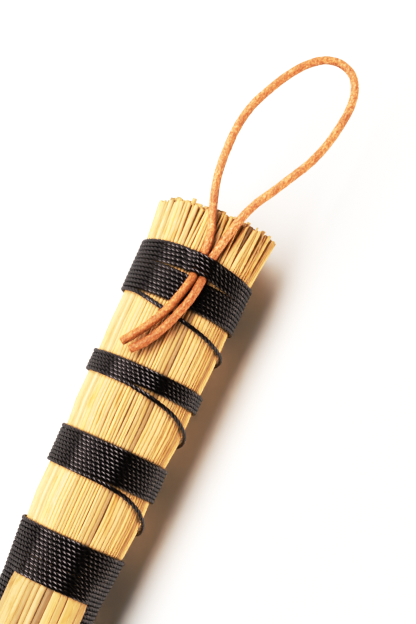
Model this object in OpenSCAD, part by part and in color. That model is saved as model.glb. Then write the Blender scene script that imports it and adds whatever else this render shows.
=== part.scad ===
// Straw brush with a cord-bound round handle and a leather hanging loop.
// It lies on its side: the handle's cut end is at +X, the soft straw tips at -X, and z = 0 is the surface it lies on.

/* [Brush] */
// Overall length from the cut end of the handle to the straw tips
total_len = 250; // [238:1:280]
// Width of the straw head at its widest
head_w = 52; // [46:1:60]

/* [Handle] */
// Diameter of the flared cut end
cut_d = 33.8; // [33:0.2:35]

/* [Cord] */
// Thickness of the binding cord
cord_d = 1.2; // [1:0.05:1.25]

/* [Leather] */
// Thickness of the round leather thong
leather_d = 2.3; // [1.8:0.1:2.3]

/* [Hidden] */

k = cut_d / 33.8;          // every radius follows the cut end
zc = 17 * k;               // height of the handle's axis
pitch = 1.1;               // advance of the cord per wrap in the upper bands
wide_pitch = 1.2;          // and in band 4 and below it
stem = 1.75 * k;           // thickness of the layer of outer stems
cord_r = cord_d / 2;
leather_r = leather_d / 2;

// u is the distance from the cut end. The straw's outer radius along the handle.
STRAW = [[0, 16.9], [4, 16.5], [9, 15.95], [14.4, 15.4], [28.3, 15.3], [32, 15.45], [38, 15.6], [44, 15.3],
         [46.2, 15.05], [51.7, 15.05], [55, 15.3], [61, 15.35], [66, 14.7], [67.8, 14.45], [77.7, 14.4],
         [81, 14.7], [87, 14.8], [92, 14.3], [94.2, 14], [108.5, 12.75], [139, 12.75]];
function straw_r(u) = k * lookup(u, STRAW);
function px(u) = total_len / 2 - u;

// Turns a profile of [radius, x] points about the handle's axis
module about_axis(points) {
    translate([0, 0, zc]) rotate([0, 90, 0]) rotate_extrude($fn = 96) polygon(points);
}

// Rows of one closed section each, joined into one skin with flat ends. Every section has the same number of points.
module skin(rows) {
    n = len(rows[0]);
    m = len(rows);
    pts = [for (r = rows) for (p = r) p];
    faces = concat(
        [[for (j = [n - 1 : -1 : 0]) j]],
        [for (i = [0 : m - 2]) for (j = [0 : n - 1]) [i * n + j, i * n + (j + 1) % n, (i + 1) * n + (j + 1) % n]],
        [for (i = [0 : m - 2]) for (j = [0 : n - 1]) [i * n + j, (i + 1) * n + (j + 1) % n, (i + 1) * n + j]],
        [[for (j = [0 : n - 1]) (m - 1) * n + j]]);
    polyhedron(pts, faces, convexity = 8);
}

function unit(v) = v / norm(v);
// One ring of a tube: at point c, square to direction t, with the side vector s
function ring(c, t, s, r, n = 8) =
    let (a = unit(s - t * (s * t)), b = cross(t, a))
    [for (j = [0 : n - 1]) c + r * (cos(360 * j / n) * a + sin(360 * j / n) * b)];
function along(path, i) = unit(path[min(i + 1, len(path) - 1)] - path[max(i - 1, 0)]);
function tube_rows(path, r) = [for (i = [0 : len(path) - 1]) ring(path[i], along(path, i), [0, 0, 1], r)];
// Route points are [x from the cut end, y, height over the handle's axis]
function placed(route) = [for (p = route) [total_len / 2 + p[0], p[1], zc + p[2] * k]];

module core_bundle() color("#d9c27c")
    about_axis(concat(
        [[0, px(0)]],
        [for (p = STRAW) [straw_r(p[0]) - stem, px(p[0])]],
        [[0, px(139)]]));

// The leather's two strands where they lie under the upper wraps
RUN_Y = [-0.3, -2.7];
module run(r, u0, u1)
    for (y = RUN_Y) translate([px(u1), y, zc + 14.95 * k]) rotate([0, 90, 0]) cylinder(r = r, h = u1 - u0, $fn = 32);

module outer_stems() color("#e8d592")
    difference() {
        about_axis(concat(
            [for (p = STRAW) [straw_r(p[0]), px(p[0])]],
            [for (i = [len(STRAW) - 1 : -1 : 0]) [straw_r(STRAW[i][0]) - stem + 0.02, px(STRAW[i][0])]]));
        run(leather_r + 0.03, 13.4, 20.5);
    }

// Rows of u, half width, half height and first angle. The tongue lies over the lower winding,
// then the bundle opens to half of the head.
tongue_in = 12.75 * k + cord_d + 0.07;
HALF = [[108.9, 14.35, 14.4, 43], [110.5, 14.75, 14.85, 43], [113, 15.1, 15.3, 43], [126, 15.1, 15.4, 43],
        [138.9, 15.1, 15.5, 43], [139.6, 14.8, 15.5, 1], [145, 15, 15.5, 1], [153, 16, 15.7, 1],
        [165, 18, 15.9, 1], [180, 20.5, 16.3, 1], [195, 23, 16.7, 1], [210, 25, 17, 1], [225, 26, 16.6, 1],
        [238, 25.6, 14.5, 1], [247, 24, 12, 1], [250, 22.5, 10.2, 1]];
function half_u(u) = u <= 139.6 ? u : 139.6 + (u - 139.6) * (total_len - 139.6) / 110.4;
function half_a(a) = a <= 15.5 ? a * k : 15.5 * k + (a - 15.5) * (head_w / 2 - 15.5 * k) / 10.5;
function arc(x, a, b, first, side, n) =
    [for (j = [0 : n]) let (t = first + (180 - 2 * first) * j / n) [x, a * cos(t), zc + side * (b * sin(t) + 0.02)]];
function flip(v) = [for (i = [len(v) - 1 : -1 : 0]) v[i]];
function half_row(h, side, n = 14) =
    let (x = px(half_u(h[0])), a = half_a(h[1]), b = h[2] * k, tongue = h[3] > 1,
         loop = concat(arc(x, a, b, h[3], side, n),
                       flip(arc(x, tongue ? tongue_in : a * 0.95, tongue ? tongue_in : 0.2, h[3], side, n))))
    side > 0 ? loop : flip(loop);

module half_bundle(side) skin([for (i = [len(HALF) - 1 : -1 : 0]) half_row(HALF[i], side)]);
module front_bundle() color("#ecd994") half_bundle(1);
module back_bundle() color("#e3cd86") half_bundle(-1);

// Wraps of cord lying side by side, from u0 towards the tips
module wraps(u0, n, p = pitch)
    about_axis(concat(
        [[straw_r(u0) + 0.02, px(u0)]],
        [for (i = [0 : n - 1]) for (q = [[-0.96, 0.3], [-0.7, 0.13], [-0.3, 0.02], [0.3, 0.02], [0.7, 0.13], [0.96, 0.3]])
            let (u = u0 + (i + 0.5 + q[0] / 2) * p) [straw_r(u) + cord_d - q[1], px(u)]],
        [[straw_r(u0 + n * p) + 0.02, px(u0 + n * p)]]));

module binding_1_upper() color("#1d1b1e") difference() { wraps(14.4, 5); run(leather_r + 0.03, 13.4, 20.5); }
module binding_1_lower() color("#1d1b1e") wraps(20.6, 7);
module binding_2() color("#1d1b1e") wraps(46.2, 5);
module binding_3() color("#1d1b1e") wraps(67.8, 9);
module binding_4() color("#1d1b1e") wraps(94.2, 12, wide_pitch);
module lower_binding() color("#1d1b1e") wraps(108.7, 25, wide_pitch);

// One pass of the cord across the bare straw, once round the handle from one band to the next.
// The angle is measured from the +Y side up over the top.
module cross_pass(u0, u1, a0, a1, n = 30)
    skin([for (i = [0 : n])
        let (f = i / n, u = u0 + (u1 - u0) * f, a = a0 + (a1 - a0) * f, r = straw_r(u) + cord_r + 0.06,
             c = [px(u), r * cos(a), zc + r * sin(a)],
             t = unit([-(u1 - u0) / (a1 - a0) * 180 / PI, -r * sin(a), r * cos(a)]))
        ring(c, t, [0, cos(a), sin(a)], cord_r)]);
module cross_pass_1() color("#232024") cross_pass(29.1, 45.5, 40, 385);
module cross_pass_2() color("#232024") cross_pass(52.4, 67.1, 40, 385);
module cross_pass_3() color("#232024") cross_pass(78.4, 93.5, 40, 385);

LOOP = [[-13, -0.5, 17.05], [-10, -0.3, 17.45], [-7, 0.2, 17.75], [-3.5, 1.5, 18.15], [1, 3, 18.5], [6.5, 4.5, 18.7],
        [13.5, 5.2, 18.6], [21, 5.2, 18.1], [28, 4, 17.1], [34.5, 1.5, 16.1], [40.5, -1.5, 15.1], [45.5, -5, 14.1],
        [48.8, -9, 13.1], [49.6, -13, 12.9], [48, -17, 12.9], [44.5, -19.2, 13.1], [40, -20, 13.7], [34, -19.6, 14.7],
        [27, -18.3, 15.9], [20.5, -16.2, 17.1], [15, -13.5, 18.1], [9, -10.3, 18.6], [4, -7.5, 18.6], [-1, -5.6, 18.4],
        [-5, -4.6, 18.05], [-9, -3.8, 17.55], [-13, -3, 17.05]];
LEFT_TAIL = [[-20.6, 0, 18.05], [-25, 0.7, 18.3], [-30, 2.1, 18.4], [-34, 3.8, 18.2], [-38.5, 6.4, 17.7], [-43, 9.6, 17.1]];
RIGHT_TAIL = [[-20.6, -2.7, 18.05], [-24.5, -2.4, 18.2], [-29.5, -1.1, 18.4], [-35, 0.9, 18.3], [-40, 3.5, 18], [-44, 6.8, 17.6]];
module hanging_loop() color("#c98955") skin(tube_rows(placed(LOOP), leather_r));
module leather_run() color("#c98955") run(leather_r, 13.6, 20.3);
module left_tail() color("#c98955") skin(tube_rows(placed(LEFT_TAIL), leather_r));
module right_tail() color("#c98955") skin(tube_rows(placed(RIGHT_TAIL), leather_r));

core_bundle();
outer_stems();
front_bundle();
back_bundle();
binding_1_upper();
binding_1_lower();
binding_2();
binding_3();
binding_4();
lower_binding();
cross_pass_1();
cross_pass_2();
cross_pass_3();
hanging_loop();
leather_run();
left_tail();
right_tail();
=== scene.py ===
import math
import bpy
import numpy as np
from mathutils import Matrix, Vector


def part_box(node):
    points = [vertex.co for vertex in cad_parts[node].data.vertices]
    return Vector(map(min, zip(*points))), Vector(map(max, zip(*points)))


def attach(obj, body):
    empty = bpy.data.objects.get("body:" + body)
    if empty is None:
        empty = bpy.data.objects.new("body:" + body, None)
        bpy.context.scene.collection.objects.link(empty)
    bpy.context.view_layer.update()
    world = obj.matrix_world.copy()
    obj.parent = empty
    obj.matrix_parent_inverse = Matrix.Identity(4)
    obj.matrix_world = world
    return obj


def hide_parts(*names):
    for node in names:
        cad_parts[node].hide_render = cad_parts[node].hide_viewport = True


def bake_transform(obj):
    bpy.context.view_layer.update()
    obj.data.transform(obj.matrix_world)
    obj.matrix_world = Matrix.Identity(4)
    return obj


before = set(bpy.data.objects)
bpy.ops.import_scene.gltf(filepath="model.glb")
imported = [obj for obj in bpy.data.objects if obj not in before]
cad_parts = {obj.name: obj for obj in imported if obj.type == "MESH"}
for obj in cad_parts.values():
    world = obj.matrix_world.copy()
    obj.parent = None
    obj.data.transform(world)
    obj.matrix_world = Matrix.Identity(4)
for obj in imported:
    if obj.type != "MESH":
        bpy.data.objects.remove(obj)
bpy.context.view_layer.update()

scene = bpy.context.scene

# ---------------------------------------------------------------- the shared frame
LO, HI = (np.array(v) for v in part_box("outer_stems"))
X0 = float(HI[0])                       # the handle's cut end
ZC = float((LO[2] + HI[2]) / 2)         # height of the handle's axis
TIP = X0 - float(np.array(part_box("front_bundle")[0])[0])     # length to the straw tips
MM = 0.001

STRAW = np.array([[-2, 17.1], [0, 16.9], [4, 16.5], [9, 15.95], [14.4, 15.4], [28.3, 15.3], [32, 15.45], [38, 15.6], [44, 15.3],
                  [46.2, 15.05], [51.7, 15.05], [55, 15.3], [61, 15.35], [66, 14.7], [67.8, 14.45], [77.7, 14.4],
                  [81, 14.7], [87, 14.8], [92, 14.3], [94.2, 14.0], [108.5, 12.75], [140, 12.75]])


def straw_r(u):
    return np.interp(u, STRAW[:, 0], STRAW[:, 1])


def at(u, y, h):
    """mm from the cut end, mm across, mm over the handle's axis -> metres in the row frame"""
    return np.stack([X0 - np.asarray(u, float) * MM, np.asarray(y, float) * MM, ZC + np.asarray(h, float) * MM], -1)


def smooth(t):
    t = np.clip(t, 0, 1)
    return t * t * (3 - 2 * t)


def hump(a, centre, width):
    d = (np.asarray(a) - centre + 180) % 360 - 180
    return np.exp(-(d / width) ** 2)


# ---------------------------------------------------------------- camera, first
cam_data = bpy.data.cameras.new("camera")
cam = bpy.data.objects.new("camera", cam_data)
scene.collection.objects.link(cam)
tilt = math.atan2(410 - 199, 1650.0)
ax = np.array([0.41003198, -0.91207114])          # where +X points in the picture, right and down
ay = np.array([ax[1], -ax[0]])
right = np.array([ax[0], ay[0], 0.0])
down = np.array([ax[1], ay[1], 0.0])
look = np.array([0.0, 0.0, -1.0])


def lean(v, a):
    c, s = math.cos(a), math.sin(a)
    return np.array([c * v[0] - s * v[2], v[1], s * v[0] + c * v[2]])


right, down, look = lean(right, tilt), lean(down, tilt), lean(look, tilt)
eye = at(81.08, -7.72, 441.9)
m = Matrix.Identity(4)
for i, v in enumerate((right, -down, -look)):
    for r in range(3):
        m[r][i] = float(v[r])
for r in range(3):
    m[r][3] = float(eye[r])
cam.matrix_world = m
cam_data.sensor_fit = "VERTICAL"
cam_data.sensor_height = 24.0
cam_data.sensor_width = 16.0
cam_data.lens = 1650.0 / 624.0 * 24.0
cam_data.clip_start = 0.01
cam_data.clip_end = 20
scene.camera = cam


# ---------------------------------------------------------------- mesh helpers
def add_mesh(name, verts, quads, tris=None, colours=None, fibres=None, materials=()):
    """verts n x 3, quads m x 4, tris k x 3. colours is n x 4, stored as the point attribute tint."""
    me = bpy.data.meshes.new(name)
    verts = np.asarray(verts, np.float32)
    quads = np.asarray(quads, np.int32).reshape(-1, 4)
    tris = np.zeros((0, 3), np.int32) if tris is None else np.asarray(tris, np.int32).reshape(-1, 3)
    nq, nt = len(quads), len(tris)
    me.vertices.add(len(verts))
    me.vertices.foreach_set("co", verts.ravel())
    me.loops.add(nq * 4 + nt * 3)
    me.loops.foreach_set("vertex_index", np.concatenate([quads.ravel(), tris.ravel()]).astype(np.int32))
    me.polygons.add(nq + nt)
    start = np.concatenate([np.arange(nq) * 4, nq * 4 + np.arange(nt) * 3]).astype(np.int32)
    me.polygons.foreach_set("loop_start", start)
    smooth_flags = np.concatenate([np.ones(nq, bool), np.zeros(nt, bool)])
    me.polygons.foreach_set("use_smooth", smooth_flags)
    me.update(calc_edges=True)
    me.validate()
    if colours is not None:
        a = me.color_attributes.new("tint", "FLOAT_COLOR", "POINT")
        a.data.foreach_set("color", np.asarray(colours, np.float32).ravel())
    if fibres is not None:
        a = me.attributes.new("fibre", "FLOAT_VECTOR", "POINT")
        a.data.foreach_set("vector", np.asarray(fibres, np.float32).ravel())
    ob = bpy.data.objects.new(name, me)
    scene.collection.objects.link(ob)
    for mt in materials:
        me.materials.append(mt)
    return ob


def frames(path):
    """Tangents and side vectors that twist as little as possible along a path of n x 3 points."""
    t = np.gradient(path, axis=0)
    t /= np.linalg.norm(t, axis=1)[:, None]
    a = np.zeros_like(path)
    v = np.array([0, 0, 1.0])
    if abs(t[0] @ v) > 0.9:
        v = np.array([0, 1.0, 0])
    v = v - t[0] * (v @ t[0])
    a[0] = v / np.linalg.norm(v)
    for i in range(1, len(path)):
        v = a[i - 1] - t[i] * (a[i - 1] @ t[i])
        a[i] = v / np.linalg.norm(v)
    return t, a, np.cross(t, a)


class Batch:
    """Collects many tubes into one mesh."""

    def __init__(self):
        self.v, self.q, self.t, self.c, self.f, self.n = [], [], [], [], [], 0

    def tubes(self, centres, side, up, radius, sides, tint, caps=True, cap_tint=None, dish=0.0, ring_painted_shade=None, fibre=None):
        """centres k x n x 3, side and up k x n x 3, radius k x n. All tubes have the same number of rings."""
        k, n, _ = centres.shape
        ang = np.arange(sides) * 2 * math.pi / sides
        c, s = np.cos(ang), np.sin(ang)
        ring = centres[:, :, None, :] + radius[:, :, None, None] * (side[:, :, None, :] * c[None, None, :, None]
                                                                    + up[:, :, None, :] * s[None, None, :, None])
        base = self.n
        self.v.append(ring.reshape(-1, 3))
        idx = base + np.arange(k * n * sides).reshape(k, n, sides)
        a, b = idx[:, :-1, :], idx[:, 1:, :]
        a2, b2 = np.roll(a, -1, 2), np.roll(b, -1, 2)
        self.q.append(np.stack([a, a2, b2, b], -1).reshape(-1, 4))
        # an optional factor for each side of a ring, used for painted shade in the grooves of the cord
        shade = np.ones(sides) if ring_painted_shade is None else ring_painted_shade
        shade = np.stack([shade, shade, shade, np.ones(sides)], -1)
        self.c.append((tint[:, :, None, :] * shade[None, None]).reshape(-1, 4))
        if fibre is not None:
            self.f.append(np.repeat(fibre.reshape(-1, 3), sides, 0))
        self.n += k * n * sides
        if caps:
            cap_tint = tint if cap_tint is None else cap_tint
            for end in (0, n - 1):
                # a rim of its own, a little inside, so that the cut end is crisp
                t = centres[:, 0] - centres[:, 1] if end == 0 else centres[:, -1] - centres[:, -2]
                t = t / np.linalg.norm(t, axis=-1, keepdims=True)
                mid = centres[:, end] - t * dish * radius[:, end, None]
                rim = centres[:, end][:, None] + (ring[:, end] - centres[:, end][:, None]) * 0.8
                self.v.append(rim.reshape(-1, 3))
                self.v.append(mid)
                ri = self.n + np.arange(k * sides).reshape(k, sides)
                mi = self.n + k * sides + np.arange(k)
                self.n += k * sides + k
                e = idx[:, end, :]
                e2, r2 = np.roll(e, -1, 1), np.roll(ri, -1, 1)
                if end == 0:
                    self.q.append(np.stack([e2, e, ri, r2], -1).reshape(-1, 4))
                    self.t.append(np.stack([r2, ri, np.broadcast_to(mi[:, None], ri.shape)], -1).reshape(-1, 3))
                else:
                    self.q.append(np.stack([e, e2, r2, ri], -1).reshape(-1, 4))
                    self.t.append(np.stack([ri, r2, np.broadcast_to(mi[:, None], ri.shape)], -1).reshape(-1, 3))
                self.c.append(np.repeat(cap_tint[:, end], sides, 0))
                self.c.append(cap_tint[:, end])
                if fibre is not None:
                    self.f += [np.repeat(fibre[:, end], sides, 0), fibre[:, end]]

    def build(self, name, materials):
        return add_mesh(name, np.concatenate(self.v), np.concatenate(self.q),
                        np.concatenate(self.t) if self.t else None, np.concatenate(self.c),
                        np.concatenate(self.f) if self.f else None, materials=materials)


# ---------------------------------------------------------------- materials
def new_material(name):
    mt = bpy.data.materials.new(name)
    mt.use_nodes = True
    nt = mt.node_tree
    return mt, nt, nt.nodes["Principled BSDF"]


def node(nt, kind, **inputs):
    n = nt.nodes.new(kind)
    for key, value in inputs.items():
        n.inputs[key.replace("_", " ")].default_value = value
    return n


def ramp(nt, source, stops):
    n = nt.nodes.new("ShaderNodeValToRGB")
    el = n.color_ramp.elements
    while len(el) > 1:
        el.remove(el[-1])
    el[0].position, el[0].color = stops[0][0], (*stops[0][1], 1)
    for pos, col in stops[1:]:
        e = el.new(pos)
        e.color = (*col, 1)
    nt.links.new(source, n.inputs[0])
    return n


def mapped(nt, scale):
    tc = nt.nodes.new("ShaderNodeTexCoord")
    mp = nt.nodes.new("ShaderNodeMapping")
    mp.inputs["Scale"].default_value = scale
    nt.links.new(tc.outputs["Object"], mp.inputs[0])
    return mp.outputs[0]


def mix(nt, mode, fac, a, b):
    n = nt.nodes.new("ShaderNodeMix")
    n.data_type = "RGBA"
    n.blend_type = mode
    for sock, val in ((n.inputs[0], fac), (n.inputs[6], a), (n.inputs[7], b)):
        if hasattr(val, "links"):
            nt.links.new(val, sock)
        else:
            sock.default_value = val
    return n.outputs[2]


def straw_material(name, low, high, blotch, rough=0.42, fine=1.0):
    mt, nt, bsdf = new_material(name)
    att = nt.nodes.new("ShaderNodeAttribute")
    att.attribute_name = "tint"
    # long streaks along each stem, from its own fibres
    streak = node(nt, "ShaderNodeTexNoise", Scale=1.0, Detail=5.0, Roughness=0.62)
    nt.links.new(mapped(nt, (28, 5200 * fine, 5200 * fine)), streak.inputs["Vector"])
    base = ramp(nt, streak.outputs[0], [(0.28, low), (0.5, tuple((a + b) / 2 for a, b in zip(low, high))), (0.72, high)])
    spots = node(nt, "ShaderNodeTexNoise", Scale=1.0, Detail=4.0, Roughness=0.6)
    nt.links.new(mapped(nt, (95, 420, 420)), spots.inputs["Vector"])
    spot_fac = ramp(nt, spots.outputs[0], [(0.56, (0, 0, 0)), (0.74, (1, 1, 1))])
    col = mix(nt, "MIX", spot_fac.outputs[0], base.outputs[0], (*blotch, 1))
    col = mix(nt, "MULTIPLY", 1.0, col, att.outputs["Color"])
    nt.links.new(col, bsdf.inputs["Base Color"])
    rg = nt.nodes.new("ShaderNodeMapRange")
    rg.inputs["To Min"].default_value = rough - 0.08
    rg.inputs["To Max"].default_value = rough + 0.16
    nt.links.new(streak.outputs[0], rg.inputs[0])
    nt.links.new(rg.outputs[0], bsdf.inputs["Roughness"])
    bsdf.inputs["Specular IOR Level"].default_value = 0.32
    bump = nt.nodes.new("ShaderNodeBump")
    bump.inputs["Strength"].default_value = 0.35
    bump.inputs["Distance"].default_value = 0.00006
    nt.links.new(streak.outputs[0], bump.inputs["Height"])
    nt.links.new(bump.outputs[0], bsdf.inputs["Normal"])
    return mt


def cord_material(name, dark, pale, rough=0.42):
    mt, nt, bsdf = new_material(name)
    att = nt.nodes.new("ShaderNodeAttribute")
    att.attribute_name = "tint"
    fib = node(nt, "ShaderNodeTexNoise", Scale=5200.0, Detail=3.0, Roughness=0.7)
    nt.links.new(mapped(nt, (1, 1, 1)), fib.inputs["Vector"])
    patch = node(nt, "ShaderNodeTexNoise", Scale=170.0, Detail=3.0, Roughness=0.55)
    nt.links.new(mapped(nt, (1, 1, 1)), patch.inputs["Vector"])
    c1 = ramp(nt, fib.outputs[0], [(0.3, dark), (0.75, pale)])
    c2 = ramp(nt, patch.outputs[0], [(0.35, (0.65, 0.62, 0.62)), (0.7, (1.25, 1.15, 1.1))])
    col = mix(nt, "MULTIPLY", 1.0, c1.outputs[0], c2.outputs[0])
    col = mix(nt, "MULTIPLY", 1.0, col, att.outputs["Color"])
    nt.links.new(col, bsdf.inputs["Base Color"])
    rg = nt.nodes.new("ShaderNodeMapRange")
    rg.inputs["To Min"].default_value = rough - 0.02
    rg.inputs["To Max"].default_value = rough + 0.08
    nt.links.new(fib.outputs[0], rg.inputs[0])
    nt.links.new(rg.outputs[0], bsdf.inputs["Roughness"])
    bsdf.inputs["Specular IOR Level"].default_value = 1.0
    bsdf.inputs["Specular Tint"].default_value = (1.0, 0.86, 0.86, 1)
    # the fibres run along each ply, so a highlight spreads across them
    fibre = nt.nodes.new("ShaderNodeAttribute")
    fibre.attribute_name = "fibre"
    nt.links.new(fibre.outputs["Vector"], bsdf.inputs["Tangent"])
    bsdf.inputs["Anisotropic"].default_value = 0.9
    bsdf.inputs["Anisotropic Rotation"].default_value = 0.25
    bump = nt.nodes.new("ShaderNodeBump")
    bump.inputs["Strength"].default_value = 0.25
    bump.inputs["Distance"].default_value = 0.00002
    nt.links.new(fib.outputs[0], bump.inputs["Height"])
    nt.links.new(bump.outputs[0], bsdf.inputs["Normal"])
    return mt


def leather_material(name):
    mt, nt, bsdf = new_material(name)
    att = nt.nodes.new("ShaderNodeAttribute")
    att.attribute_name = "tint"
    fib = node(nt, "ShaderNodeTexNoise", Scale=1.0, Detail=6.0, Roughness=0.68)
    nt.links.new(mapped(nt, (1500, 2100, 2100)), fib.inputs["Vector"])
    patch = node(nt, "ShaderNodeTexNoise", Scale=260.0, Detail=4.0, Roughness=0.6)
    nt.links.new(mapped(nt, (1, 1, 1)), patch.inputs["Vector"])
    base = ramp(nt, fib.outputs[0], [(0.32, (0.36, 0.125, 0.04)), (0.45, (0.6, 0.26, 0.1)), (0.56, (0.77, 0.4, 0.18)), (0.67, (0.98, 0.7, 0.46))])
    tone = ramp(nt, patch.outputs[0], [(0.32, (0.78, 0.72, 0.68)), (0.66, (1.12, 1.1, 1.08))])
    col = mix(nt, "MULTIPLY", 1.0, base.outputs[0], tone.outputs[0])
    col = mix(nt, "MULTIPLY", 1.0, col, att.outputs["Color"])
    nt.links.new(col, bsdf.inputs["Base Color"])
    rg = nt.nodes.new("ShaderNodeMapRange")
    rg.inputs["To Min"].default_value = 0.38
    rg.inputs["To Max"].default_value = 0.66
    nt.links.new(fib.outputs[0], rg.inputs[0])
    nt.links.new(rg.outputs[0], bsdf.inputs["Roughness"])
    bsdf.inputs["Specular IOR Level"].default_value = 0.55
    bump = nt.nodes.new("ShaderNodeBump")
    bump.inputs["Strength"].default_value = 0.6
    bump.inputs["Distance"].default_value = 0.00012
    nt.links.new(fib.outputs[0], bump.inputs["Height"])
    nt.links.new(bump.outputs[0], bsdf.inputs["Normal"])
    return mt


STEM_MAT = straw_material("straw_stems_mat", (0.61, 0.375, 0.15), (0.8, 0.535, 0.32), (0.54, 0.29, 0.09), 0.46)
HEAD_MAT = straw_material("straw_head_mat", (0.6, 0.39, 0.15), (0.8, 0.62, 0.34), (0.52, 0.31, 0.1), 0.46)
CORD_MAT = cord_material("binding_cord_mat", (0.0006, 0.0004, 0.0004), (0.0045, 0.0032, 0.0033), 0.3)
LEATHER_MAT = leather_material("thong_leather_mat")


# ---------------------------------------------------------------- the leather thong: routes first
def spline(points, step):
    """A smooth curve through the points (centripetal Catmull-Rom), resampled evenly every step mm."""
    p = np.asarray(points, float)
    p = np.vstack([2 * p[0] - p[1], p, 2 * p[-1] - p[-2]])
    out = []
    for i in range(1, len(p) - 2):
        p0, p1, p2, p3 = p[i - 1], p[i], p[i + 1], p[i + 2]
        t0 = 0
        t1 = t0 + np.linalg.norm(p1 - p0) ** 0.5
        t2 = t1 + np.linalg.norm(p2 - p1) ** 0.5
        t3 = t2 + np.linalg.norm(p3 - p2) ** 0.5
        t = np.linspace(t1, t2, 24, endpoint=False)[:, None]
        a1 = (t1 - t) / (t1 - t0) * p0 + (t - t0) / (t1 - t0) * p1
        a2 = (t2 - t) / (t2 - t1) * p1 + (t - t1) / (t2 - t1) * p2
        a3 = (t3 - t) / (t3 - t2) * p2 + (t - t2) / (t3 - t2) * p3
        b1 = (t2 - t) / (t2 - t0) * a1 + (t - t0) / (t2 - t0) * a2
        b2 = (t3 - t) / (t3 - t1) * a2 + (t - t1) / (t3 - t1) * a3
        out.append((t2 - t) / (t2 - t1) * b1 + (t - t1) / (t2 - t1) * b2)
    c = np.vstack(out + [p[-2][None]])
    d = np.concatenate([[0], np.cumsum(np.linalg.norm(np.diff(c, axis=0), axis=1))])
    s = np.linspace(0, d[-1], max(8, int(d[-1] / step)))
    return np.stack([np.interp(s, d, c[:, j]) for j in range(3)], -1), d[-1]


# x from the cut end (towards the loop is +), y, height over the axis: the same points as in the design
LOOP = [[-13, -0.5, 17.05], [-10, -0.3, 17.45], [-7, 0.2, 17.75], [-3.5, 1.5, 18.15], [1, 3, 18.5], [6.5, 4.5, 18.7],
        [13.5, 5.2, 18.6], [21, 5.2, 18.1], [28, 4, 17.1], [34.5, 1.5, 16.1], [40.5, -1.5, 15.1], [45.5, -5, 14.1],
        [48.8, -9, 13.1], [49.6, -13, 12.9], [48, -17, 12.9], [44.5, -19.2, 13.1], [40, -20, 13.7], [34, -19.6, 14.7],
        [27, -18.3, 15.9], [20.5, -16.2, 17.1], [15, -13.5, 18.1], [9, -10.3, 18.6], [4, -7.5, 18.6], [-1, -5.6, 18.4],
        [-5, -4.6, 18.05], [-9, -3.8, 17.55], [-13, -3, 17.05]]
LEFT_TAIL = [[-16.4, -0.45, 14.6], [-18.4, -0.45, 14.8], [-19.5, -0.45, 15.8], [-20.5, -0.4, 17.1], [-22.2, -0.1, 17.95], [-26, 0.8, 18.3], [-30, 2, 18.35],
             [-34, 3.8, 18.15], [-38.5, 6.4, 17.65], [-43, 9.6, 17.05]]
RIGHT_TAIL = [[-16.4, -2.85, 14.6], [-18.4, -2.85, 14.8], [-19.5, -2.85, 15.8], [-20.5, -2.85, 17.1], [-22.2, -2.7, 17.95], [-25.5, -2.25, 18.3], [-29.5, -1.1, 18.35],
              [-35, 0.9, 18.25], [-40, 3.5, 17.95], [-44, 6.8, 17.55]]
LOOP = ([[-18.2, -0.5, 14.6], [-16.4, -0.5, 14.6], [-14.8, -0.5, 14.8], [-13.4, -0.5, 15.6], [-12, -0.45, 16.4], [-10, -0.3, 17.15]] + LOOP[2:-2]
        + [[-10, -3.55, 17.15], [-12, -3.15, 16.4], [-13.4, -2.95, 15.6], [-14.8, -2.95, 14.8], [-16.4, -2.95, 14.6], [-18.2, -2.95, 14.6]])


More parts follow.
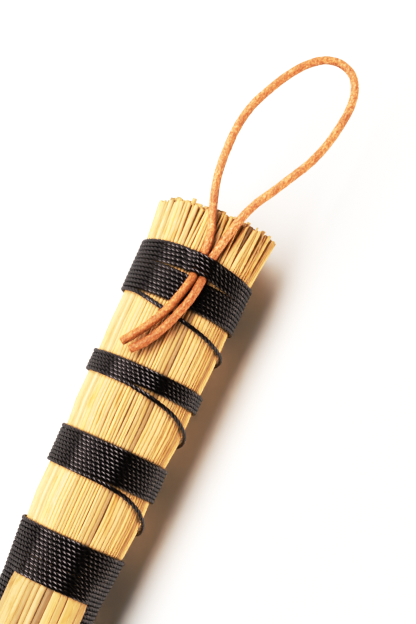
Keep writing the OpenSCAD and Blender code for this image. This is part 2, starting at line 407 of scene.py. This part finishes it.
def leather(name, points, seed, sides=20, step=0.34, r=1.15, tone=(1.0, 1.0, 1.0)):
    rng = np.random.RandomState(seed)
    path, length = spline(points, step)
    p = at(-path[:, 0], path[:, 1], path[:, 2])
    t, a, b = frames(p)
    n = len(p)
    ang = np.arange(sides) * 2 * math.pi / sides
    # hand-cut round leather: not quite round, not quite even, with fine raised fibres
    s = np.arange(n) * step
    rad = np.ones((n, sides))
    for k in range(14):
        w, ph, o = rng.uniform(0.25, 2.4), rng.uniform(0, 6.28), rng.randint(0, 4)
        rad += 0.0045 * np.sin(s[:, None] * w + ph + o * ang[None, :])
    rad += rng.normal(0, 0.013, (n, sides))
    lengthwise = rng.normal(0, 0.03, (n + 12, sides))
    ker = np.hanning(9) / np.hanning(9).sum()
    lengthwise = np.stack([np.convolve(lengthwise[:, j], ker, "same")[6:6 + n] for j in range(sides)], 1)
    rad = (rad + lengthwise) * r * MM
    # cut ends: slightly rounded rims
    for end in (slice(0, 3), slice(n - 3, n)):
        pass
    ring = p[:, None] + rad[..., None] * (a[:, None] * np.cos(ang)[None, :, None] + b[:, None] * np.sin(ang)[None, :, None])
    for i, f in ((0, 0.86), (1, 0.96), (n - 1, 0.86), (n - 2, 0.96)):
        ring[i] = p[i] + (ring[i] - p[i]) * f
    idx = np.arange(n * sides).reshape(n, sides)
    q = np.stack([idx[:-1], np.roll(idx[:-1], -1, 1), np.roll(idx[1:], -1, 1), idx[1:]], -1).reshape(-1, 4)
    v = [ring.reshape(-1, 3)]
    nv = n * sides
    tr, qs = [], [q]
    tint = [np.tile([*tone, 1.0], (n * sides, 1))]
    for end, sgn in ((0, -1), (n - 1, 1)):
        inner = p[end] + (ring[end] - p[end]) * 0.62 + t[end] * sgn * 0.00006 + rng.normal(0, 0.00003, (sides, 3))
        v += [inner, (p[end] + t[end] * sgn * 0.00002)[None]]
        ii = nv + np.arange(sides)
        mi = nv + sides
        nv += sides + 1
        e = idx[end]
        if sgn < 0:
            qs.append(np.stack([np.roll(e, -1), e, ii, np.roll(ii, -1)], -1))
            tr.append(np.stack([np.roll(ii, -1), ii, np.full(sides, mi)], -1))
        else:
            qs.append(np.stack([e, np.roll(e, -1), np.roll(ii, -1), ii], -1))
            tr.append(np.stack([ii, np.roll(ii, -1), np.full(sides, mi)], -1))
        tint.append(np.tile([1.12, 1.05, 0.95, 1.0], (sides + 1, 1)))
    ob = add_mesh(name, np.vstack(v), np.vstack(qs), np.vstack(tr), np.vstack(tint), materials=[LEATHER_MAT])
    for poly in ob.data.polygons:
        poly.use_smooth = True
    return ob, p, length * MM


loop_ob, loop_path, loop_len = leather("leather_loop", LOOP, 11, tone=(0.9, 0.82, 0.84))
left_ob, left_path, left_len = leather("leather_tail_left", LEFT_TAIL, 12, tone=(0.8, 0.67, 0.55))
right_ob, right_path, right_len = leather("leather_tail_right", RIGHT_TAIL, 13, tone=(0.72, 0.6, 0.52))

edge = at(13.4, -1.7, 16.9)
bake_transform(loop_ob)
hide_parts("hanging_loop", "leather_run")
every = slice(None, None, 6)
for ob, path, length, node_name, body, y in ((left_ob, left_path, left_len, "left_tail", "tail_left", -0.3),
                                             (right_ob, right_path, right_len, "right_tail", "tail_right", -2.75)):
    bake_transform(ob)
    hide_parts(node_name)

# ---------------------------------------------------------------- the binding cord, one twisted cord wound from the top band down
CR = 0.6          # cord radius, mm


def over_tongue(theta, tau):
    """The tongues of straw that start under band 4, in front and behind, lift the wraps that lie over them."""
    front = np.abs((theta - 90 + 180) % 360 - 180)
    back = np.abs((theta - 270 + 180) % 360 - 180)
    return smooth((tau - 33) / 6.5) * (smooth((60 - front) / 26) * (tau < 41.0) + smooth((60 - back) / 26) * (tau < 40.5))


# (turns, mm from the cut end). The band starts at 35 degrees; a pass goes once round to the next band.
KEYS = [(-0.2, 14.85), (0.0, 15.05), (12.0, 28.3),
        (12.06, 28.55), (12.2, 31.3), (12.27, 32.5), (12.35, 34.1), (12.43, 35.6), (12.70, 41.6), (12.88, 46.2), (13.0, 46.75),
        (18.0, 51.6), (18.15, 52.0), (18.23, 53.2), (18.3, 54.6), (18.35, 56.2), (18.4, 58.0), (18.46, 60.2), (18.70, 65.0), (18.88, 67.9), (19.0, 68.35),
        (28.0, 77.7), (28.2, 78.1), (28.27, 78.9), (28.33, 80.6), (28.39, 83.1), (28.46, 86.0), (28.70, 91.3), (28.88, 94.3), (29.0, 94.75),
        (41.0, 108.3), (66.0, 138.3)]
KEYS = np.array(KEYS)
TURNS = KEYS[-1, 0]
START = KEYS[0, 0]
step_turn = 1 / 240.0
tau = np.arange(START, TURNS, step_turn)
u_c = np.interp(tau, KEYS[:, 0], KEYS[:, 1])
# soften the corners of the route
ker = np.hanning(15)
ker /= ker.sum()
pad = np.concatenate([np.full(7, u_c[0]), u_c, np.full(7, u_c[-1])])
u_c = np.convolve(pad, ker, "valid")
theta = 22 + 360 * tau
rng = np.random.RandomState(5)
# the hand's small unevenness, wrap by wrap
coarse = rng.normal(0, 1, int(TURNS * 7) + 4)
wob = np.interp(tau * 7, np.arange(len(coarse)), coarse)
in_pass = ((tau > 12.0) & (tau < 13.0)) | ((tau > 18.05) & (tau < 19.0)) | ((tau > 28.08) & (tau < 29.0))
u_c = u_c + 0.025 * wob
first = tau < 12.0
tuck = np.clip(1 - (tau - START) / 0.09, 0, 1)        # the cord's first end lies under its own wraps
bow = 1.5 * hump(theta, 78, 60) * np.clip(1 - tau / 12.0, 0, 1)
gap = 0.5 * hump(theta, 95, 27)
u_c = u_c + 3.2 * smooth(tuck) - np.where(first, bow, 0) - np.where(tau < 4.97, gap * smooth(tau / 2.0), 0) + np.where((tau >= 4.97) & (tau < 8), gap * (1 - (tau - 4.97) / 3.03), 0)
r_c = straw_r(u_c) + CR - 0.03
over = np.abs((theta - 96.3 + 180) % 360 - 180)
r_c += np.where(tau < 4.97, (0.8 + 0.35 * np.exp(-np.maximum(tau, 0))) * smooth((21 - over) / 14), 0)     # over the leather
r_c += (1.25 + 0.6 * smooth((tau - 38.5) / 2)) * over_tongue(theta, tau)
r_c += 0.02 * np.interp(tau * 5, np.arange(len(coarse)), coarse)
r_c += np.where(in_pass, 0.06, 0) - 1.25 * smooth(tuck * 1.4)
th = np.radians(theta)
centre = at(u_c, r_c * np.cos(th), r_c * np.sin(th))
T = np.gradient(centre, axis=0)
seg = np.linalg.norm(T, axis=1)
T /= seg[:, None]
OUT = np.stack([np.zeros_like(th), np.cos(th), np.sin(th)], -1)
OUT -= T * (OUT * T).sum(1)[:, None]
OUT /= np.linalg.norm(OUT, axis=1)[:, None]
SIDE = np.cross(T, OUT)
# ridges a turn: each wrap's ridges carry on those of its neighbour, as on the real winding
ridges = np.interp(tau, [12, 13, 18, 19, 28, 29, 41, 42], [62.6, 60.6, 60.6, 58.6, 58.6, 55.6, 55.6, 53.6])
ridge_phase = np.cumsum(ridges) * step_turn
PLIES, PLY_R, PLY_OFF = 3, 0.31, 0.31
# painted shade: each ply ring is darkest on its inner sides, in the grooves between the plies, and brightest on its
# outermost side
PLY_GROOVE_SHADE = 0.3 + 1.0 * np.clip(np.cos(np.arange(8) * math.pi / 4), 0, 1)


def pressed_flat(v, out):
    """The tight winding presses the cord a little oval."""
    return v - 0.2 * (v * out).sum(1)[:, None] * out


def cord_piece(name, t0, t1, nodes_replaced, seed):
    i0, i1 = int(round((t0 - START) / step_turn)), min(int(round((t1 - START) / step_turn)) + 2, len(tau))
    sl = slice(i0, i1)
    n = i1 - i0
    phase = 2 * math.pi * ridge_phase[sl] / PLIES
    b = Batch()
    r = np.random.RandomState(seed)
    for k in range(PLIES):
        f = phase + 2 * math.pi * k / PLIES
        off = OUT[sl] * np.cos(f)[:, None] + SIDE[sl] * np.sin(f)[:, None]
        c = centre[sl] + pressed_flat(off, OUT[sl]) * PLY_OFF * MM
        t = np.gradient(c, axis=0)
        t /= np.linalg.norm(t, axis=1)[:, None]
        a = off - t * (off * t).sum(1)[:, None]
        a /= np.linalg.norm(a, axis=1)[:, None]
        up = pressed_flat(np.cross(t, a), OUT[sl])
        a = pressed_flat(a, OUT[sl])
        shade = 0.9 + 0.2 * r.rand()
        tint = np.ones((1, n, 4))
        tint[..., :3] *= shade
        b.tubes(c[None], a[None], up[None], np.full((1, n), PLY_R * MM), 8, tint, ring_painted_shade=PLY_GROOVE_SHADE, fibre=t[None])
    # painted shade: a core tube tinted to 30 % fills the middle of the cord, so the grooves between the plies and the
    # gaps between wraps show dark
    dark = np.full((1, n, 4), 0.3)
    b.tubes(centre[sl][None], OUT[sl][None], SIDE[sl][None], np.full((1, n), 0.3 * MM), 5, dark, fibre=T[sl][None])
    ob = b.build(name, [CORD_MAT])
    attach(ob, "brush")
    if nodes_replaced:
        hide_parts(*nodes_replaced)
    return ob


cord_piece("cord_band_1_upper", START, 4.97, ["binding_1_upper"], 1)
cord_piece("cord_band_1_lower", 4.97, 12.0, ["binding_1_lower"], 2)
cord_piece("cord_pass_1", 12.0, 12.95, ["cross_pass_1"], 3)
cord_piece("cord_band_2", 12.95, 18.06, ["binding_2"], 4)
cord_piece("cord_pass_2", 18.06, 18.95, ["cross_pass_2"], 5)
cord_piece("cord_band_3", 18.95, 28.08, ["binding_3"], 6)
cord_piece("cord_pass_3", 28.08, 28.95, ["cross_pass_3"], 7)
cord_piece("cord_band_4", 28.95, 41.0, ["binding_4"], 8)
cord_piece("cord_lower_a", 41.0, 53.5, ["lower_binding"], 9)
cord_piece("cord_lower_b", 53.5, TURNS, [], 10)


# ---------------------------------------------------------------- straw stems of the handle
def tints(k, n, rng, spread=0.12, warm=0.1, dark=1.0):
    """A colour of its own for every stem, with a slow change along it."""
    lum = dark * (1 + rng.normal(0, spread, (k, 1))) * np.where(rng.rand(k, 1) < 0.08, 0.74, 1.0)
    yel = rng.normal(0, warm, (k, 1))
    along = np.cumsum(rng.normal(0, 0.012, (k, n)), 1)
    lum = np.clip(lum + along, 0.45, 1.32)
    c = np.ones((k, n, 4))
    c[..., 0] = lum * (1 + 0.04 * yel)
    c[..., 1] = lum * (1 - 0.10 * np.abs(yel) - 0.04 * yel)
    c[..., 2] = lum * (1 - 0.9 * np.abs(yel) - 0.2 * yel)
    return c


def stem_ring(batch, depth, wlo, whi, seed, u_end=139.5, sides=8, dark=1.0, flare=1.0):
    """One layer of stems side by side, depth mm under the handle's surface."""
    rng = np.random.RandomState(seed)
    total = 2 * math.pi * (15.0 - depth - 0.5)
    w = []
    while sum(w) < total:
        w.append(float(np.clip(math.exp(rng.normal(math.log(wlo * 0.55 + whi * 0.45), 0.22)), wlo, whi)))
    w = np.array(w) * total / sum(w)
    base = (np.cumsum(w) - w / 2) / total * 360
    k = len(w)
    us = np.unique(np.concatenate([np.arange(0, 13, 1.25), [14.0, 14.8, 18.7, 19.3, 21.3, 21.9, 27.7, 28.5, 45.8, 46.7, 51.0, 51.9, 67.4, 68.3, 77.1, 78.0, 93.9, 94.8],
                                   np.arange(24, 26, 2), np.arange(31, 45, 3.0), [49.0], np.arange(54.5, 66.5, 3.0), [72.0], np.arange(80.5, 93, 3.0), [101.0, 107.0, 120.0], [u_end]]))
    n = len(us)
    u = np.tile(us, (k, 1))
    u[:, 0] = rng.normal(0.35, 0.28, k)
    late = np.where(rng.rand(k) < 0.12, rng.uniform(0.4, 1.6, k), 0)
    u[:, 0] = np.clip(u[:, 0] + late, -0.35, 1.1)
    # the end was trimmed a little aslant: the +Y side is shorter
    cut = 1.15 * (1 + np.cos(np.radians(base)))[:, None]
    u[:, :9] = np.maximum(u[:, :9], 0) * (1 - cut / 12.0) + cut + np.minimum(u[:, :9], 0)
    thin = (0.16 + 0.2 * smooth((base[:, None] - 92) / 40) * smooth((268 - base[:, None]) / 40)) if depth == 0 else 0.02
    r = (w / 2 * np.where(np.cos(np.radians(base)) < -0.25, 0.99, 1.06))[:, None] * (1 - thin * np.clip((12.0 - u) / 12.0, 0, 1))
    top = np.clip((14.0 - u) / 14.0, 0, 1) ** 1.3
    fan_t = rng.normal(0, 1.5, (k, 1)) * flare
    fan_r = rng.normal(0, 1, (k, 1)) * (0.14 + 0.16 * smooth((base[:, None] - 70) / 50)) * flare
    # on the -Y side some stems have worked loose and cross their neighbours
    loose = ((rng.rand(k, 1) < 0.3) & (np.cos(np.radians(base - 160))[:, None] > 0.45))
    fan_t = fan_t + np.where(loose, rng.normal(0, 5.5, (k, 1)), 0) * flare
    fan_r = fan_r + np.where(loose, rng.uniform(0.1, 0.6, (k, 1)), 0) * flare
    wave = np.zeros((k, n))
    for a in range(4):
        wave += 0.35 * np.sin(u * rng.uniform(0.04, 0.16, (k, 1)) + rng.uniform(0, 6.28, (k, 1))) * rng.uniform(0, 1, (k, 1))
    # free between the bands, held under them
    held, pressed = np.zeros((k, n)), np.zeros((k, n))
    for lo_, hi_ in ((14.4, 28.3), (46.2, 51.7), (67.8, 77.7), (94.2, 140)):
        held = np.maximum(held, smooth((u - lo_ + 3.5) / 3.5) * smooth((hi_ + 3.5 - u) / 3.5))
        pressed = np.maximum(pressed, smooth((u - lo_ + 0.4) / 1.4) * smooth((hi_ + 0.4 - u) / 1.4))
    pressed = pressed * (1 - smooth((u - 18.9) / 0.6) * smooth((21.7 - u) / 0.6))
    free = 1 - held
    ang = np.radians(base[:, None] + fan_t * top + wave * (0.15 + 0.85 * free) * 0.9)
    rad = (straw_r(u) - depth - np.minimum(r, 0.6) - 0.12 * (u > 14.4) - 0.33 * pressed - 0.22 * free * (u > 14.4)
           + fan_r * top + (0.3 + 0.7 * free) * rng.normal(0, 0.08, (k, 1)) + free * 0.04 * wave * (u > 14.4))
    c = at(u, rad * np.cos(ang), rad * np.sin(ang))
    out = np.stack([np.zeros_like(ang), np.cos(ang), np.sin(ang)], -1)
    t = np.gradient(c, axis=1)
    t /= np.linalg.norm(t, axis=-1, keepdims=True)
    a = out - t * (out * t).sum(-1, keepdims=True)
    a /= np.linalg.norm(a, axis=-1, keepdims=True)
    b = np.cross(t, a)
    # the factor dark is painted shade for the deeper rings; the outer ring keeps 1.0
    tint = tints(k, n, rng, dark=dark)
    # painted light: stems on the -Y side, away from the key light, are made up to 12 % lighter
    tint[..., :3] *= 1 + 0.12 * smooth(-np.cos(np.radians(base)))[:, None, None]
    # painted shade: under the bands the stems are darkened to 10 % (28 % under band 2), but not in the gap of band 1
    shade_under_bands = np.interp(u, [14.0, 14.8, 18.7, 19.3, 21.3, 21.9, 27.7, 28.5, 45.8, 46.7, 51.0, 51.9, 67.4, 68.3, 77.1, 78.0, 93.9, 94.8],
                        [0, 1, 1, 0, 0, 1, 1, 0, 0, 0.8, 0.8, 0, 0, 1, 1, 0, 0, 1])
    tint[..., :3] *= (1 - 0.9 * shade_under_bands * (u > 13.9))[..., None]
    # the cut ends do not carry the deeper rings' painted shade
    cap = np.clip(tint * np.array([1.12, 1.1, 1.06, 1]) / np.array([dark, dark, dark, 1.0]), 0, 1.5)
    # wide stems are flat, narrow ones round
    flat = np.clip(0.6 / r, 0.5, 1.0)[..., None]
    batch.tubes(c, a * flat, b, r * MM, sides, tint, cap_tint=cap, dish=0.25)
    return k


outer = Batch()
n_outer = stem_ring(outer, 0.0, 0.62, 1.5, 21, sides=10)
outer_ob = outer.build("outer_stems_straw", [STEM_MAT])
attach(outer_ob, "brush")
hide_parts("outer_stems")

inner = Batch()
# painted shade: the two deeper rings are darkened to 68 % and 70 %
stem_ring(inner, 0.8, 0.75, 1.4, 22, dark=0.68, sides=7)
stem_ring(inner, 1.8, 0.9, 1.5, 23, dark=0.7, sides=7)
# the rest of the bundle, packed
rng = np.random.RandomState(24)
pts = []
sp = 1.38
for i in range(-12, 13):
    for j in range(-14, 15):
        y, z = (i + 0.5 * (j % 2)) * sp, j * sp * 0.866
        if math.hypot(y, z) < 13.3:
            pts.append((y, z))
pts = np.array(pts) + rng.normal(0, 0.12, (len(pts), 2))
k = len(pts)
us = np.array([0, 3, 8, 14, 30, 60, 95, 110, 139.5])
u = np.tile(us, (k, 1)).astype(float)
u[:, 0] = np.clip(rng.normal(0.4, 0.35, k), -0.3, 1.4)
f = (straw_r(u) - 3.0) / (16.9 - 3.0)
f = f / f[:, :1] * 1.0
y, z = pts[:, :1] * f * 1.02, pts[:, 1:] * f * 1.02
c = at(u, y, z)
t = np.gradient(c, axis=1)
t /= np.linalg.norm(t, axis=-1, keepdims=True)
a = np.array([0, 0, 1.0]) - t * t[..., 2:3]
a /= np.linalg.norm(a, axis=-1, keepdims=True)
b = np.cross(t, a)
r = rng.uniform(0.55, 0.74, (k, 1)) * np.clip(f, 0, 1.0) * MM
# painted shade: the packed core inside the bundle is darkened to 90 %
tint = tints(k, len(us), rng, dark=0.9)
inner.tubes(c, a, b, r, 7, tint, cap_tint=np.clip(tint * np.array([1.12, 1.1, 1.06, 1]), 0, 1.5), dish=0.3)
inner_ob = inner.build("inner_stems_straw", [STEM_MAT])
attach(inner_ob, "brush")
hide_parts("core_bundle")

# ---------------------------------------------------------------- the head
HEAD = np.array([[104, 14.3, 14.4], [108, 14.6, 14.7], [110, 14.95, 15.1], [126, 15.0, 15.3], [138.9, 15.1, 15.5], [145, 15.3, 15.5], [153, 16, 15.7],
                 [165, 18, 15.9], [180, 20.5, 16.3], [195, 23, 16.7], [210, 25, 16.9], [225, 25.8, 16.3],
                 [238, 25.4, 14.3], [247, 24, 11.8], [250, 23, 10.6]])


def head_ab(u):
    return np.interp(u, HEAD[:, 0], HEAD[:, 1]), np.interp(u, HEAD[:, 0], HEAD[:, 2])


def tongue(batch, side, seed, depth=0.0, dark=1.0, start=99.0, span=46):
    """Stems that come out from under band 4 over the lower winding and run on into the head."""
    rng = np.random.RandomState(seed)
    total = math.radians(2 * span) * 14.6
    w = []
    while sum(w) < total:
        w.append(rng.uniform(0.95, 2.5))
    w = np.array(w) * total / sum(w)
    base = 90 - span + (np.cumsum(w) - w / 2) / total * 2 * span
    k = len(w)
    us = np.concatenate([np.arange(start, 116, 1.2), np.arange(116, 222, 5.0)])
    n = len(us)
    u = np.tile(us, (k, 1)).astype(float)
    u[:, -1] += rng.uniform(-12, 8, k)
    a_, b_ = head_ab(u)
    # under band 4 the stems lie on the straw, then rise over the lower winding
    rise = smooth((u - 107.6) / 1.3)
    r = (w / 2 * np.where(base > 100, 1.0, 1.13))[:, None] * np.interp(u, [100, 150, 200, 225], [1, 0.95, 0.55, 0.3])
    thick = np.minimum(r, 0.42)
    fan = np.interp(u, [100, 139, 165, 225], [0, 0, 0.22, 0.42])
    ang = base[:, None] + (base[:, None] - 90) * fan + rng.normal(0, 1.2, (k, 1)) * np.clip((u - 112) / 40, 0, 1)
    ang += 0.6 * np.sin(u * rng.uniform(0.03, 0.1, (k, 1)) + rng.uniform(0, 6.28, (k, 1)))
    an = np.radians(ang)
    low = straw_r(u) - 0.06 + 1.25 * smooth((u - 99.3) / 7.3) + 0.6 * smooth((u - 105.5) / 2.2)
    rad_y = low * (1 - rise) + a_ * rise
    rad_z = low * (1 - rise) + b_ * rise
    inset = thick + depth + 0.06 * np.sin(u * 0.11 + rng.uniform(0, 6.28, (k, 1)))
    y = (rad_y - inset) * np.cos(an)
    z = (rad_z - inset) * np.sin(an) * side
    c = at(u, y, z)
    out = np.stack([np.zeros_like(an), np.cos(an), side * np.sin(an)], -1)
    t = np.gradient(c, axis=1)
    t /= np.linalg.norm(t, axis=-1, keepdims=True)
    a = out - t * (out * t).sum(-1, keepdims=True)
    a /= np.linalg.norm(a, axis=-1, keepdims=True)
    b = np.cross(t, a)
    batch.tubes(c, a * (thick / r)[..., None], b, r * MM, 10, tints(k, n, rng, spread=0.13, dark=dark * 0.79), dish=0.1)


def bristles(batch, count, side, seed, rho_lo, rho_hi, start=(134, 158), dark=1.0, rad=(0.16, 0.30)):
    """Fine straw of one half of the head. side is +1 for the front half, -1 for the back."""
    rng = np.random.RandomState(seed)
    k = count
    n = 15
    f = np.linspace(0, 1, n) ** 0.95
    s0 = rng.uniform(*start, (k, 1))
    th0 = rng.uniform(0, 180, (k, 1))
    rho = np.sqrt(rng.uniform(rho_lo ** 2, rho_hi ** 2, (k, 1)))
    # the tips are beaten soft: the middle reaches furthest, the edges stop a little short
    reach = 249.5 - 9.0 * np.cos(np.radians(th0)) ** 2 * rho - rng.gamma(1.6, 2.6, (k, 1)) - 5.0 * (rho > 0.93)
    reach = np.clip(reach, 205, 249.4)
    u = s0 + (reach - s0) * f[None, :]
    a_, b_ = head_ab(u)
    th = np.radians(th0 + rng.normal(0, 3.5, (k, 1)) * f[None, :] ** 1.5
                    + 1.4 * np.sin(u * rng.uniform(0.02, 0.07, (k, 1)) + rng.uniform(0, 6.28, (k, 1))))
    grow = smooth((u - s0) / 9.0)
    rr = rho * (0.9 + 0.1 * grow) + rng.normal(0, 0.012, (k, 1)) * f[None, :]
    rr = np.clip(rr, 0, 0.992)
    y = a_ * rr * np.cos(th)
    z = np.maximum(b_ * rr * np.sin(th), 0.03) * side
    c = at(u, y, z)
    r = rng.uniform(*rad, (k, 1)) * np.interp(f, [0, 0.06, 0.6, 1], [0.5, 1, 0.8, 0.35])[None, :] * MM
    out = np.stack([np.zeros_like(th), np.cos(th), side * np.sin(th)], -1)
    t = np.gradient(c, axis=1)
    t /= np.linalg.norm(t, axis=-1, keepdims=True)
    a = out - t * (out * t).sum(-1, keepdims=True)
    a /= np.linalg.norm(a, axis=-1, keepdims=True)
    b = np.cross(t, a)
    batch.tubes(c, a, b, r, 5, tints(k, n, rng, spread=0.14, dark=dark), dish=0.0)


for side, label, seed in ((1, "front", 40), (-1, "back", 60)):
    tb = Batch()
    tongue(tb, side, seed)
    # painted shade: the second tongue layer, under the first, is darkened to half
    tongue(tb, side, seed + 1, depth=0.75, dark=0.5, span=44)
    ob = tb.build(label + "_tongue_straw", [STEM_MAT])
    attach(ob, "brush")
    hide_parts(label + "_bundle")
    hb = Batch()
    bristles(hb, 720, side, seed + 2, 0.9, 0.99, rad=(0.2, 0.36))
    ob = hb.build(label + "_head_outer_straw", [HEAD_MAT])
    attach(ob, "brush")
    hb = Batch()
    # painted shade: the inner bristles of the head are darkened to 90 % and 85 %
    bristles(hb, 430, side, seed + 3, 0.55, 0.9, dark=0.9, rad=(0.22, 0.36))
    bristles(hb, 300, side, seed + 4, 0.0, 0.55, dark=0.85, rad=(0.25, 0.4))
    ob = hb.build(label + "_head_inner_straw", [HEAD_MAT])
    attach(ob, "brush")

# ---------------------------------------------------------------- stage and light
me = bpy.data.meshes.new("floor")
s = 3.0
me.from_pydata([(-s, -s, 0), (s, -s, 0), (s, s, 0), (-s, s, 0)], [], [(0, 1, 2, 3)])
floor = bpy.data.objects.new("floor", me)
scene.collection.objects.link(floor)
floor_mat, fnt, fb = new_material("pale_floor")
fb.inputs["Base Color"].default_value = (0.9, 0.89, 0.885, 1)
fb.inputs["Roughness"].default_value = 0.75
fb.inputs["Specular IOR Level"].default_value = 0.2
me.materials.append(floor_mat)


def area(name, direction, distance, size, power, colour, target=(0.04, 0.0, 0.02)):
    ld = bpy.data.lights.new(name, "AREA")
    ld.shape = "RECTANGLE"
    ld.size, ld.size_y = size
    ld.energy = power
    ld.color = colour
    ob = bpy.data.objects.new(name, ld)
    scene.collection.objects.link(ob)
    d = Vector(direction).normalized()
    ob.location = Vector(target) + d * distance
    ob.rotation_euler = d.to_track_quat("Z", "Y").to_euler()
    return ob


area("key", (0.1, 1.0, 1.9), 2.0, (3.6, 0.8), 76.0, (1.0, 0.985, 0.965))
area("side", (0.05, 1.0, 0.25), 1.0, (1.0, 0.5), 2.6, (1.0, 0.95, 0.92))
area("bounce", (-0.05, -1.0, 0.05), 1.0, (1.2, 0.1), 3.2, (1.0, 0.88, 0.74))
soft = area("bounce_soft", (-0.05, -1.0, 0.06), 1.0, (1.3, 0.11), 6.8, (1.0, 0.89, 0.76))
soft.visible_glossy = False
area("end", (1.0, 0.25, 0.08), 1.0, (0.6, 0.15), 0.55, (1.0, 0.95, 0.9))
area("far_end", (-1.0, -0.3, 0.08), 1.0, (0.6, 0.15), 0.45, (1.0, 0.93, 0.86))
world = bpy.data.worlds.new("studio")
scene.world = world
world.use_nodes = True
bg = world.node_tree.nodes["Background"]
bg.inputs[0].default_value = (1.0, 0.76, 0.66, 1)
bg.inputs[1].default_value = 0.022
scene.view_settings.view_transform = "Standard"
scene.view_settings.look = "None"
scene.view_settings.exposure = 0.0
scene.view_settings.gamma = 1.0
# a camera's tone curve: deeper shadows, lifted mid tones, soft highlights
scene.view_settings.use_curve_mapping = True
tone_curve = scene.view_settings.curve_mapping
for x, y in ((0.02, 0.009), (0.05, 0.028), (0.1, 0.07), (0.2, 0.18), (0.3, 0.34), (0.45, 0.6), (0.6, 0.78), (0.75, 0.9), (0.9, 0.975)):
    tone_curve.curves[3].points.new(x, y)
tone_curve.update()
